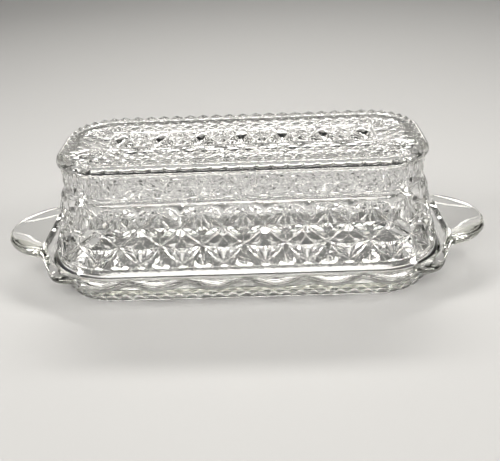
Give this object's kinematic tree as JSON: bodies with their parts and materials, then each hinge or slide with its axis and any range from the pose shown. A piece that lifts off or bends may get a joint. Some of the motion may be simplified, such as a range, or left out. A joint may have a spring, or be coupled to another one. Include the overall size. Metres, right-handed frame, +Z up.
{
  "type": "butter dish",
  "caption": "Clear pressed-glass butter dish: a long tray with scalloped rim and rounded end tabs, and a patterned lid that lifts off.",
  "frame": {"origin": "centre of the dish, on the plane the foot of the tray stands on", "axes": "+X along the long side through the tabs, +Y across the dish, +Z up out of the tray through the lid"},
  "size_m": [0.21, 0.088, 0.0612],
  "materials": {
    "tray_glass": "clear pressed glass, fire-polished",
    "lid_glass": "clear pressed glass, fire-polished"
  },
  "bodies": {
    "tray": {"tray": "tray_glass"},
    "lid": {"lid": "lid_glass"}
  },
  "joints": [
    {"name": "lid_lift", "type": "slide", "parent": "tray", "child": "lid", "axis": [0, 0, 1], "range_m": [0, 0.085]}
  ]
}
